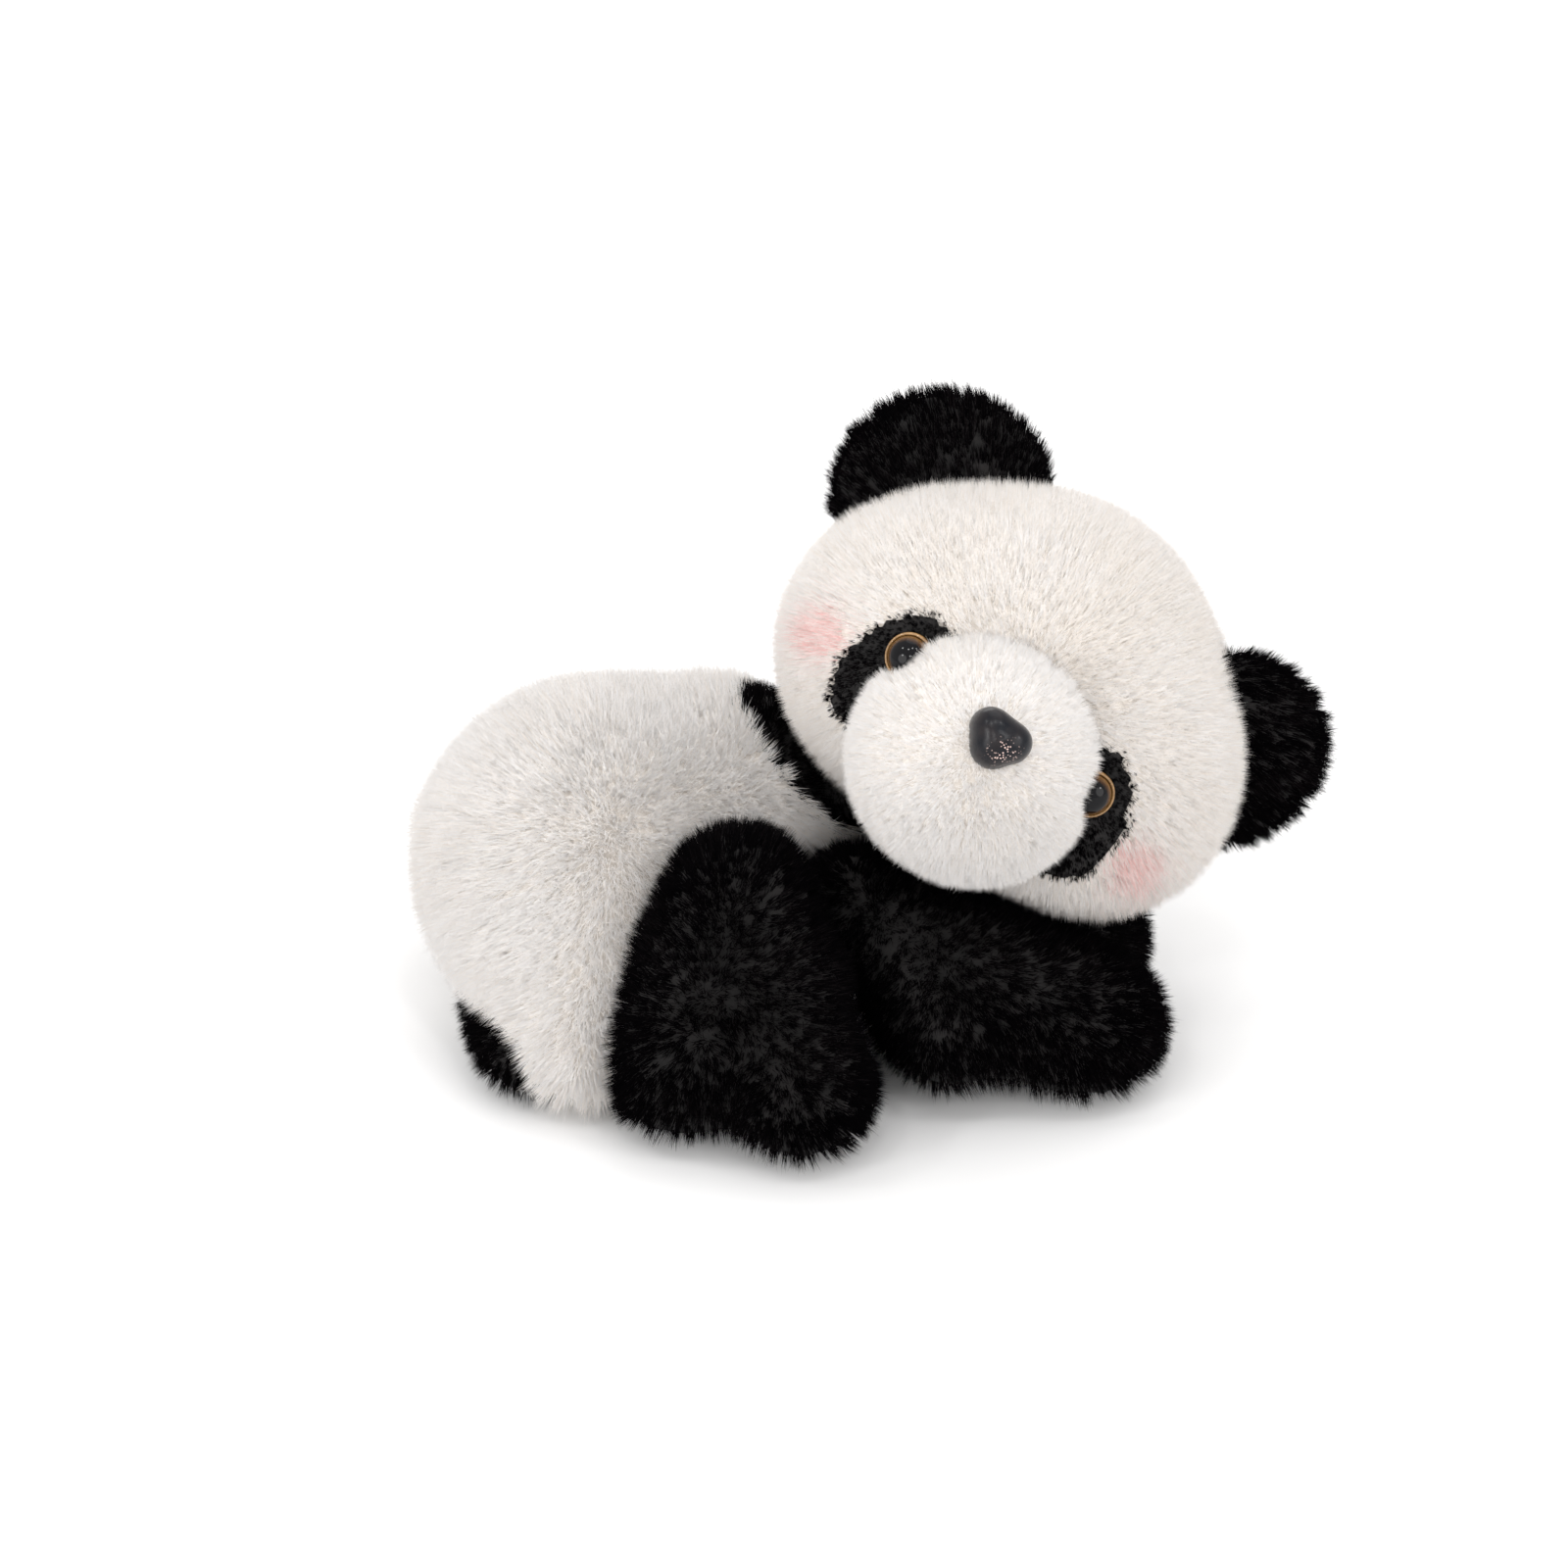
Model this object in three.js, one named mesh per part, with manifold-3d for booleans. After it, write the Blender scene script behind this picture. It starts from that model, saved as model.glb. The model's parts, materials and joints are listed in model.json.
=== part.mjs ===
import * as THREE from "three";
import { mergeVertices } from "three/addons/utils/BufferGeometryUtils.js";
import Module from "manifold-3d";

// A plush panda lying curled on its left side, in millimetres. +X runs from the rump to the head,
// -Y is the side that the belly and the face turn to, +Z is up, and the ground is at z = 0.
// Every solid is the sewn cloth form: the pile stands proud of it.

const wasm = await Module();
wasm.setup();

const SKIN = 2; // backing cloth with the pressed roots of the pile
const PLAY = 0.4; // gap between pieces that touch
const EASE = 1.4; // room between a limb and the body it swings against
const MOUTH = 9; // radius of the sewn opening at a limb's root
const BEYOND = 200; // farther than any part of the panda from its middle
const FINE = 5; // subdivisions of the large forms
const COARSE = 4; // subdivisions of the small forms
const CUT = 4; // how far a hole's cutter stands proud of the cloth

const at = (x, y, z) => new THREE.Vector3(x, y, z);
const ball = (x, y, z, r) => ({ at: at(x, y, z), r });
const degrees = THREE.MathUtils.degToRad;

// The body's own balls, from the seat between the legs to the chest.
const TORSO = {
  middle: at(8, 4, 40),
  blend: 16,
  balls: [
    ball(-4, -40, 15, 15),
    ball(-1, -17, 28, 28),
    ball(-1, 10, 44, 46),
    ball(37, 22, 53.5, 33),
  ],
};

// The head has its own frame: x to the panda's left, y to the crown, z out of the face.
const HEAD_AT = at(112.4, 11.7, 95.5);
const HEAD_ROLL = degrees(-37);
const HEAD_PITCH = degrees(60);
const HEAD = {
  middle: at(0, 0, 0),
  blend: 14,
  balls: [ball(0, 4, -3, 48), ball(-26, -5, 2, 38), ball(26, -5, 2, 38)],
};
const MUZZLE = {
  middle: at(0, -23, 38),
  blend: 10,
  balls: [ball(-4, -24, 42, 27), ball(4, -24, 42, 27), ball(0, -16, 42, 22)],
};

const NECK = { at: at(68, 19, 69), r: 15 };
const YOKE_SEAM = { normal: at(0.766, 0.116, 0.632).normalize(), offset: 85.5 };
const PELLETS = ball(-2, 4, 12, 22);
const TAIL = { middle: at(-38, 36, 40), blend: 6, balls: [ball(-38, 36, 40, 11)] };

const EYE = {
  x: 29.2,
  y: -11.8,
  dome: 5.4,
  height: 4.6,
  rim: 6.5,
  rimHigh: 1.6,
  gap: 0.3,
  stem: 1.6,
  stemLength: 9,
};
const WASHER = { r: 6, thick: 1.5, drop: 1.5, fit: 0.2 };
const NOSE = { x: 1, y: -17, wide: 19, high: 14, deep: 9, bevel: 3, stem: 2, stemLength: 9 };
const PATCH = { x: 30.4, y: -17, long: 18.4, short: 12.5, lean: degrees(14), thick: 1 };
// The ears are sewn on by hand: the left one sits a little lower and is turned more edge-on.
const EAR = { z: -5, wide: 29.5, high: 28, thick: 5.8, lean: degrees(-43), room: 2.6 };
const EARS = {
  right: { at: at(-47.5, 29.5, EAR.z), twist: 0 },
  left: { at: at(52.5, 20.5, EAR.z), twist: degrees(32) },
};

// A limb: its balls run from the root to the paw; it swings about `axis` through its root.
const LIMBS = {
  arm_right: {
    middle: at(100, -31, 34),
    root: at(69, -17, 43),
    inner: at(-0.6, 0.8, 0.1),
    swing: [-18, 0],
    blend: 10,
    balls: [
      ball(69, -17, 43, 18.5),
      ball(86, -27, 39, 18),
      ball(94, -36, 25, 20),
      ball(103, -33, 33, 18),
      ball(118, -35, 25, 18.5),
      ball(131, -33, 19, 20),
    ],
  },
  arm_left: {
    middle: at(103, 13, 19),
    root: at(75, 14, 21),
    inner: at(-0.7, 0.3, 0.6),
    swing: [0, 24],
    blend: 10,
    balls: [
      ball(75, 14, 21, 17),
      ball(94, 13, 17.5, 16.5),
      ball(112, 12, 17, 17),
      ball(130, 11, 17.5, 18.5),
    ],
  },
  leg_right: {
    middle: at(40, -50, 36),
    root: at(28, -52, 22),
    inner: at(-0.9, 0.4, 0.2),
    swing: [-24, 0],
    blend: 9,
    balls: [
      ball(23, -51, 21, 22),
      ball(31, -45, 43, 20.5),
      ball(38, -39, 61, 18.5),
      ball(49, -51, 42, 16),
      ball(54, -64, 19, 19),
    ],
  },
  leg_left: {
    middle: at(-21, -22, 15),
    root: at(-25, -6, 19),
    inner: at(0.4, 0.9, 0.2),
    swing: [-22, 0],
    blend: 10,
    balls: [ball(-25, -6, 19, 12.5), ball(-22, -21, 14.5, 12.5), ball(-18, -36, 13, 12.5)],
  },
};

const LOOKS = {
  white_fur: { color: 0xf4eee2, roughness: 0.95 },
  black_fur: { color: 0x121012, roughness: 0.9 },
  short_pile: { color: 0x0d0c0d, roughness: 0.95 },
  stuffing: { color: 0xf7f7f4, roughness: 1 },
  pellet_cloth: { color: 0xc9c4b8, roughness: 0.9 },
  nose_plastic: { color: 0x17171a, roughness: 0.22 },
  eye_black: { color: 0x050507, roughness: 0.05 },
  eye_amber: { color: 0xa8641c, roughness: 0.15 },
  washer_plastic: { color: 0xe6e6e4, roughness: 0.4 },
};

const panda = new THREE.Group();
const head = new THREE.Group();
head.position.copy(HEAD_AT);
head.rotation.set(HEAD_PITCH, 0, HEAD_ROLL, "XYZ");
head.updateMatrixWorld(true);
panda.add(head);

// ---- solids -------------------------------------------------------------------------------

function toSolid(geometry) {
  geometry.deleteAttribute("normal");
  geometry.deleteAttribute("uv");
  const merged = mergeVertices(geometry, 1e-4);
  return new wasm.Manifold(
    new wasm.Mesh({
      numProp: 3,
      vertProperties: merged.attributes.position.array,
      triVerts: new Uint32Array(merged.index.array),
    }),
  );
}

function toGeometry(solid) {
  const mesh = solid.getMesh();
  const geometry = new THREE.BufferGeometry();
  geometry.setAttribute("position", new THREE.BufferAttribute(mesh.vertProperties, 3));
  geometry.setIndex(new THREE.BufferAttribute(mesh.triVerts, 1));
  geometry.computeVertexNormals();
  return geometry;
}

function addPiece(group, name, look, solid) {
  const material = new THREE.MeshStandardMaterial({ ...LOOKS[look], metalness: 0 });
  const mesh = new THREE.Mesh(toGeometry(solid), material);
  mesh.name = name;
  group.add(mesh);
}

// How far a point is outside a soft union of balls.
function outside(form, point) {
  let distance = Infinity;
  for (const one of form.balls) {
    const own = point.distanceTo(one.at) - one.r;
    const share = Math.max(form.blend - Math.abs(distance - own), 0) / form.blend;
    distance = Math.min(distance, own) - (share * share * form.blend) / 4;
  }
  return distance;
}

// The closed surface that lies `offset` outside the form, seen from the form's middle.
function shell(form, offset, detail) {
  const geometry = new THREE.IcosahedronGeometry(1, detail);
  const places = geometry.attributes.position;
  const direction = at(0, 0, 0);
  const point = at(0, 0, 0);
  for (let i = 0; i < places.count; i++) {
    direction.fromBufferAttribute(places, i).normalize();
    let near = 0;
    let far = BEYOND;
    for (let step = 0; step < 30; step++) {
      const reach = (near + far) / 2;
      point.copy(form.middle).addScaledVector(direction, reach);
      if (outside(form, point) < offset) near = reach;
      else far = reach;
    }
    point.copy(form.middle).addScaledVector(direction, near);
    places.setXYZ(i, point.x, point.y, point.z);
  }
  return toSolid(geometry);
}

function sphere(centre, radius, detail = COARSE) {
  const geometry = new THREE.IcosahedronGeometry(radius, detail);
  geometry.translate(centre.x, centre.y, centre.z);
  return toSolid(geometry);
}

// A disc or pin that runs from `start` to `end` along the outward axis of a placed frame.
function pin(frame, radius, start, end, sides = 14) {
  const geometry = new THREE.CylinderGeometry(radius, radius, end - start, sides);
  geometry.rotateX(Math.PI / 2);
  geometry.translate(0, 0, (start + end) / 2);
  geometry.applyMatrix4(frame);
  return toSolid(geometry);
}

function lathe(frame, profile, sides) {
  const geometry = new THREE.LatheGeometry(profile, sides);
  geometry.rotateX(Math.PI / 2);
  geometry.applyMatrix4(frame);
  return toSolid(geometry);
}

// Everything between two heights, wider than the panda.
function layer(low, high, frame = new THREE.Matrix4()) {
  const wide = 600;
  const block = new THREE.BoxGeometry(wide, wide, high - low).translate(0, 0, (low + high) / 2);
  return toSolid(block.applyMatrix4(frame));
}

const belowHeight = (height) => layer(-BEYOND, height);

// A frame whose z axis leaves the form along its normal, on the surface in front of (x, y).
function frameOn(form, x, y, offset) {
  const point = at(x, y, 0);
  let near = 0;
  let far = BEYOND;
  for (let step = 0; step < 40; step++) {
    point.z = (near + far) / 2;
    if (outside(form, point) < offset) near = point.z;
    else far = point.z;
  }
  const slope = 0.5;
  const normal = at(
    outside(form, at(x + slope, y, point.z)) - outside(form, at(x - slope, y, point.z)),
    outside(form, at(x, y + slope, point.z)) - outside(form, at(x, y - slope, point.z)),
    outside(form, at(x, y, point.z + slope)) - outside(form, at(x, y, point.z - slope)),
  ).normalize();
  const turn = new THREE.Quaternion().setFromUnitVectors(at(0, 0, 1), normal);
  return new THREE.Matrix4().compose(point, turn, at(1, 1, 1));
}

// A skin is the form less its inside; its filling is the same form a little smaller.
function skinOf(form, detail) {
  const inside = shell(form, -SKIN, detail).subtract(belowHeight(SKIN));
  return shell(form, 0, detail).subtract(belowHeight(0)).subtract(inside);
}

function fillingOf(form, detail) {
  return shell(form, -SKIN - PLAY, detail).subtract(belowHeight(SKIN + PLAY));
}

// ---- torso --------------------------------------------------------------------------------

function buildTorso() {
  const socket = sphere(NECK.at, NECK.r + PLAY);
  const whole = skinOf(TORSO, FINE).subtract(socket);
  const seam = new THREE.Matrix4().compose(
    at(0, 0, 0).addScaledVector(YOKE_SEAM.normal, YOKE_SEAM.offset),
    new THREE.Quaternion().setFromUnitVectors(at(0, 0, 1), YOKE_SEAM.normal),
    at(1, 1, 1),
  );
  const chestSide = layer(-PLAY / 2, BEYOND, seam);
  const rumpSide = layer(-BEYOND, PLAY / 2, seam);
  addPiece(panda, "torso_skin", "white_fur", whole.subtract(chestSide));
  addPiece(panda, "shoulder_yoke", "black_fur", whole.subtract(rumpSide));

  const filling = fillingOf(TORSO, FINE).subtract(socket);
  const bag = sphere(PELLETS.at, PELLETS.r);
  const bagRoom = sphere(PELLETS.at, PELLETS.r + PLAY);
  addPiece(panda, "torso_stuffing", "stuffing", filling.subtract(bagRoom));
  addPiece(panda, "pellet_bag", "pellet_cloth", filling.intersect(bag));

  const tail = shell(TAIL, 0, 3).subtract(shell(TORSO, PLAY, FINE));
  addPiece(panda, "tail", "white_fur", tail);
  addPiece(panda, "neck_ball", "stuffing", sphere(NECK.at, NECK.r));
}

// ---- limbs --------------------------------------------------------------------------------

function turned(solid, pivot, angle) {
  return solid
    .translate([-pivot.x, -pivot.y, -pivot.z])
    .rotate([0, 0, angle])
    .translate([pivot.x, pivot.y, pivot.z]);
}

function buildLimb(name, limb, body) {
  const [low, high] = limb.swing;
  const steps = 3;
  let skin = skinOf(limb, COARSE);
  let filling = fillingOf(limb, COARSE);
  for (let i = 0; i <= steps; i++) {
    const swept = turned(body, limb.root, -(low + ((high - low) * i) / steps));
    skin = skin.subtract(swept);
    filling = filling.subtract(swept);
  }
  const reach = limb.balls[0].r;
  const mouthAt = limb.root.clone().addScaledVector(limb.inner.clone().normalize(), reach);
  skin = skin.subtract(sphere(mouthAt, MOUTH, 2));
  addPiece(panda, name + "_skin", "black_fur", skin);
  addPiece(panda, name + "_stuffing", "stuffing", filling);
}

// ---- head ---------------------------------------------------------------------------------

function eyeFrame(sign) {
  return frameOn(HEAD, sign * EYE.x, EYE.y, PATCH.thick + 2 * PLAY);
}

function buildHead() {
  const neckHere = head.worldToLocal(NECK.at.clone());
  const socket = sphere(neckHere, NECK.r + PLAY);
  let skin = shell(HEAD, 0, FINE).subtract(shell(HEAD, -SKIN, FINE)).subtract(socket);
  let filling = shell(HEAD, -SKIN - PLAY, FINE).subtract(socket);

  for (const [side, sign] of [["right", -1], ["left", 1]]) {
    const frame = eyeFrame(sign);
    const washerTop = -PATCH.thick - 2 * PLAY - SKIN - WASHER.drop;
    const washerBase = washerTop - WASHER.thick;
    const stemEnd = -EYE.stemLength;
    skin = skin.subtract(pin(frame, EYE.stem + PLAY, stemEnd, CUT));
    filling = filling
      .subtract(pin(frame, WASHER.r + PLAY, washerBase - PLAY, CUT))
      .subtract(pin(frame, EYE.stem + PLAY, stemEnd - PLAY, CUT));
    buildEye(side, frame, washerTop, washerBase, stemEnd);
    buildPatch(side, sign, frame);
    buildEar(side, sign);
  }
  addPiece(head, "head_skin", "white_fur", skin);
  addPiece(head, "head_stuffing", "stuffing", filling);
}

function buildEye(side, frame, washerTop, washerBase, stemEnd) {
  const profile = [new THREE.Vector2(0, -EYE.height)];
  const arcSteps = 6;
  for (let i = 1; i <= arcSteps; i++) {
    const angle = (i / arcSteps) * (Math.PI / 2);
    profile.push(new THREE.Vector2(EYE.dome * Math.sin(angle), -EYE.height * Math.cos(angle)));
  }
  profile.push(new THREE.Vector2(EYE.stem, 0));
  profile.push(new THREE.Vector2(EYE.stem, -stemEnd));
  profile.push(new THREE.Vector2(0, -stemEnd));
  const mirror = new THREE.Matrix4().makeRotationX(Math.PI);
  addPiece(head, "eye_" + side, "eye_black", lathe(frame.clone().multiply(mirror), profile, 16));

  const inner = EYE.dome + EYE.gap;
  const ring = [
    new THREE.Vector2(inner, 0),
    new THREE.Vector2(EYE.rim, 0),
    new THREE.Vector2(EYE.rim, EYE.rimHigh * 0.6),
    new THREE.Vector2(inner + EYE.gap, EYE.rimHigh),
    new THREE.Vector2(inner, EYE.rimHigh),
    new THREE.Vector2(inner, 0),
  ];
  addPiece(head, "eye_rim_" + side, "eye_amber", lathe(frame, ring, 18));
  addWasher("eye_washer_" + side, frame, EYE.stem, washerBase, washerTop);
}

function addWasher(name, frame, stem, base, top) {
  const disc = pin(frame, WASHER.r, base, top);
  const hole = pin(frame, stem + WASHER.fit, base - CUT, top + CUT);
  addPiece(head, name, "washer_plastic", disc.subtract(hole));
}

function buildPatch(side, sign, frame) {
  const outline = new THREE.CylinderGeometry(1, 1, BEYOND, 30);
  outline.rotateX(Math.PI / 2);
  outline.scale(PATCH.short, PATCH.long, 1);
  outline.rotateZ(sign * PATCH.lean);
  outline.translate(sign * PATCH.x, PATCH.y, BEYOND / 2);
  const cloth = shell(HEAD, PLAY + PATCH.thick, FINE)
    .subtract(shell(HEAD, PLAY, FINE))
    .intersect(toSolid(outline))
    .subtract(shell(MUZZLE, PLAY, COARSE))
    .subtract(pin(frame, EYE.stem + PLAY, -EYE.stemLength, CUT));
  addPiece(head, "eye_patch_" + side, "short_pile", cloth);
}

function buildMuzzle() {
  const face = shell(HEAD, PLAY, FINE);
  const frame = frameOn(MUZZLE, NOSE.x, NOSE.y, PLAY);
  const washerTop = -SKIN - PLAY - WASHER.drop;
  const washerBase = washerTop - WASHER.thick;
  const stemEnd = -NOSE.stemLength;
  const [right, left] = [-1, 1].map((sign) =>
    pin(eyeFrame(sign), EYE.rim + PLAY, -EYE.stemLength, EYE.height * 3),
  );
  const skin = shell(MUZZLE, 0, COARSE)
    .subtract(shell(MUZZLE, -SKIN, COARSE))
    .subtract(face)
    .subtract(right)
    .subtract(left)
    .subtract(pin(frame, NOSE.stem + PLAY, stemEnd, CUT));
  const filling = shell(MUZZLE, -SKIN - PLAY, COARSE)
    .subtract(face)
    .subtract(right)
    .subtract(left)
    .subtract(pin(frame, WASHER.r + PLAY, washerBase - PLAY, CUT))
    .subtract(pin(frame, NOSE.stem + PLAY, stemEnd - PLAY, CUT));
  addPiece(head, "muzzle_skin", "white_fur", skin);
  addPiece(head, "muzzle_stuffing", "stuffing", filling);

  const half = NOSE.wide / 2;
  const outline = new THREE.Shape();
  outline.moveTo(-half * 0.5, NOSE.high * 0.45);
  outline.quadraticCurveTo(0, NOSE.high * 0.6, half * 0.5, NOSE.high * 0.45);
  outline.quadraticCurveTo(half * 1.1, NOSE.high * 0.35, half * 0.8, -NOSE.high * 0.05);
  outline.quadraticCurveTo(half * 0.3, -NOSE.high * 0.6, 0, -NOSE.high * 0.5);
  outline.quadraticCurveTo(-half * 0.3, -NOSE.high * 0.6, -half * 0.8, -NOSE.high * 0.05);
  outline.quadraticCurveTo(-half * 1.1, NOSE.high * 0.35, -half * 0.5, NOSE.high * 0.45);
  const button = new THREE.ExtrudeGeometry(outline, {
    depth: NOSE.deep - 2 * NOSE.bevel,
    bevelThickness: NOSE.bevel,
    bevelSize: NOSE.bevel * 0.8,
    bevelOffset: -NOSE.bevel * 0.8,
    bevelSegments: 3,
    curveSegments: 4,
  });
  button.translate(0, 0, NOSE.bevel);
  button.applyMatrix4(frame);
  const stem = pin(frame, NOSE.stem, stemEnd, NOSE.bevel, 16);
  addPiece(head, "nose", "nose_plastic", toSolid(button).add(stem));
  addWasher("nose_washer", frame, NOSE.stem, washerBase, washerTop);
}

// Two cloth panels, front and back, that meet in the ear's rim.
function buildEar(side, sign) {
  const place = new THREE.Matrix4()
    .makeTranslation(EARS[side].at)
    .multiply(new THREE.Matrix4().makeRotationZ(sign * EAR.lean))
    .multiply(new THREE.Matrix4().makeRotationY(EARS[side].twist));
  const lens = new THREE.IcosahedronGeometry(1, 4);
  lens.scale(EAR.wide, EAR.high, EAR.thick);
  lens.applyMatrix4(place);
  const whole = toSolid(lens).subtract(shell(HEAD, EAR.room, COARSE));
  const behind = layer(-BEYOND, PLAY / 2, place);
  const before = layer(-PLAY / 2, BEYOND, place);
  addPiece(head, "ear_" + side + "_front", "black_fur", whole.subtract(behind));
  addPiece(head, "ear_" + side + "_back", "black_fur", whole.subtract(before));
}

buildTorso();
const bodyWithRoom = shell(TORSO, EASE, FINE);
for (const [name, limb] of Object.entries(LIMBS)) buildLimb(name, limb, bodyWithRoom);
buildHead();
buildMuzzle();

// The origin is on the ground under the middle of the whole panda.
const middle = new THREE.Box3().setFromObject(panda, true).getCenter(at(0, 0, 0));
panda.position.set(-middle.x, -middle.y, 0);

export default panda;
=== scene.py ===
import json
import math

import bmesh
import bpy
import numpy as np
from mathutils import Matrix, Vector
from mathutils.bvhtree import BVHTree


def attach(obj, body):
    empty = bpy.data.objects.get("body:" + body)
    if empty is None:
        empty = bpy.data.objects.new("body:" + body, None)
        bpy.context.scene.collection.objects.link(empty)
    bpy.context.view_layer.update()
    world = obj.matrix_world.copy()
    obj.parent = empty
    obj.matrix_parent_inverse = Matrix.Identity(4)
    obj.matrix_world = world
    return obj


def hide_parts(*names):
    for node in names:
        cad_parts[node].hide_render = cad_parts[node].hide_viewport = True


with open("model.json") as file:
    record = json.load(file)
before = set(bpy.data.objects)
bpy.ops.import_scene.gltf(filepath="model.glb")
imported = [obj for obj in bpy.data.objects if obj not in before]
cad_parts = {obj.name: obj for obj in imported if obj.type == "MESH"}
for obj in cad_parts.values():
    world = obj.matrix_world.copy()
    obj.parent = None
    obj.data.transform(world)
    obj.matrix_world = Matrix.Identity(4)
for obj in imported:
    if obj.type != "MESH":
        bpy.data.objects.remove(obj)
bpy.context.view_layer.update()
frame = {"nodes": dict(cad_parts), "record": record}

MM = 0.001
GROUND_CLEAR = 0.25 * MM  # no hair comes nearer to the ground than this
NODES = frame["nodes"]
JOINTS = {joint["name"]: joint for joint in frame["record"]["behaviour"]["joints"]}

# The head's own axes: to the panda's left, to the crown, and out of the face.
HEAD_LEFT = Vector(JOINTS["head_nod"]["axis"]).normalized()
HEAD_UP = Vector(JOINTS["head_turn"]["axis"]).normalized()
HEAD_OUT = HEAD_LEFT.cross(HEAD_UP).normalized()
NECK = Vector(JOINTS["head_turn"]["pos_m"])


# ---- camera, light and floor ---------------------------------------------------------------

# Places, sizes and distances are in metres, and lamps' powers in watts.
CAMERA_DISTANCE = 1.25
CAMERA_ELEVATION = math.radians(30)
SENSOR_WIDTH = 36.0  # millimetres
VIEW_WIDTH = 0.416  # across the picture at the panda
AIM = NECK + Vector((-18.5, -29.6, 10.9)) * MM  # the middle of the picture

STUDIO_AIM = Vector((0, 0, 0.06))
SOFT_LAMPS = [  # name, place, size, power and colour
    ("left", (-0.85, -0.85, 0.4), 0.8, 4.2, (1, 0.99, 0.985)),
    ("right", (0.9, -0.8, 0.4), 0.8, 3.6, (1, 0.985, 0.98)),
    ("top", (0.1, 0.4, 1.1), 0.9, 2.2, (1, 1, 1)),
    ("back", (-0.2, 1.3, 0.6), 0.8, 4.0, (1, 1, 1)),
]
# Small lamps, which the eyes and the nose mirror as dots. Each has its turn away from the
# panda's front and its rise above the ground, in degrees.
CATCH_LAMPS = [(-72, 52), (-48, 30), (-30, 60), (-12, 34), (4, 68), (20, 40), (42, 62), (58, 28)]
CATCH_DISTANCE = 1.2
CATCH_SIZE = 0.12
CATCH_POWER = 0.85
WORLD_STRENGTH = 1.05
FLOOR_HALF = 3.0
FLOOR_GREY = 0.8


def make_camera():
    data = bpy.data.cameras.new("camera")
    data.sensor_width = SENSOR_WIDTH
    data.lens = SENSOR_WIDTH * CAMERA_DISTANCE / VIEW_WIDTH
    camera = bpy.data.objects.new("camera", data)
    bpy.context.collection.objects.link(camera)
    back = Vector((0, -math.cos(CAMERA_ELEVATION), math.sin(CAMERA_ELEVATION)))
    camera.location = AIM + back * CAMERA_DISTANCE
    camera.rotation_euler = (math.pi / 2 - CAMERA_ELEVATION, 0, 0)
    bpy.context.scene.camera = camera


def area_light(name, place, size, power, colour=(1, 1, 1)):
    """A round lamp that points at the panda."""
    data = bpy.data.lights.new(name, "AREA")
    data.shape = "DISK"
    data.size = size
    data.energy = power
    data.color = colour
    light = bpy.data.objects.new(name, data)
    light.location = place
    light.rotation_euler = (STUDIO_AIM - Vector(place)).to_track_quat("-Z", "Y").to_euler()
    bpy.context.collection.objects.link(light)


def make_lights():
    for lamp in SOFT_LAMPS:
        area_light(*lamp)
    for number, angles in enumerate(CATCH_LAMPS):
        turn, rise = (math.radians(angle) for angle in angles)
        away = Vector((math.sin(turn) * math.cos(rise), -math.cos(turn) * math.cos(rise),
                       math.sin(rise)))
        area_light(f"catch_{number}", STUDIO_AIM + away * CATCH_DISTANCE, CATCH_SIZE, CATCH_POWER)


def make_world():
    world = bpy.data.worlds.new("world")
    world.use_nodes = True
    background = world.node_tree.nodes["Background"]
    background.inputs["Color"].default_value = (1, 0.99, 0.985, 1)
    background.inputs["Strength"].default_value = WORLD_STRENGTH
    bpy.context.scene.world = world
    bpy.context.scene.view_settings.view_transform = "Standard"


def make_floor():
    mesh = bpy.data.meshes.new("floor")
    far = FLOOR_HALF
    mesh.from_pydata([(-far, -far, 0), (far, -far, 0), (far, far, 0), (-far, far, 0)], [],
                     [(0, 1, 2, 3)])
    floor = bpy.data.objects.new("floor", mesh)
    bpy.context.collection.objects.link(floor)
    floor.data.materials.append(plain("floor_paper", (FLOOR_GREY,) * 3, 0.9))


# ---- materials -----------------------------------------------------------------------------

def plain(name, colour, roughness, **sockets):
    """One even colour. `sockets` names further inputs, with _ for each space."""
    material = bpy.data.materials.new(name)
    material.use_nodes = True
    shader = material.node_tree.nodes["Principled BSDF"]
    shader.inputs["Base Color"].default_value = (*colour, 1)
    shader.inputs["Roughness"].default_value = roughness
    for socket, value in sockets.items():
        shader.inputs[socket.replace("_", " ")].default_value = value
    return material


def node(material, kind, inputs=(), **settings):
    """A new shader node, whose inputs are given values or other nodes' outputs."""
    made = material.node_tree.nodes.new(kind)
    for key, value in settings.items():
        setattr(made, key, value)
    for key, value in dict(inputs).items():
        if isinstance(value, bpy.types.NodeSocket):
            material.node_tree.links.new(value, made.inputs[key])
        else:
            made.inputs[key].default_value = value
    return made


def ramp(material, value, stops):
    """A colour looked up from a value. `stops` lists the places and their colours."""
    made = node(material, "ShaderNodeValToRGB", {"Fac": value})
    elements = made.color_ramp.elements
    while len(elements) < len(stops):
        elements.new(0.5)
    for element, (place, colour) in zip(elements, stops):
        element.position = place
        element.color = (*colour, 1)
    return made.outputs["Color"]


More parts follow.
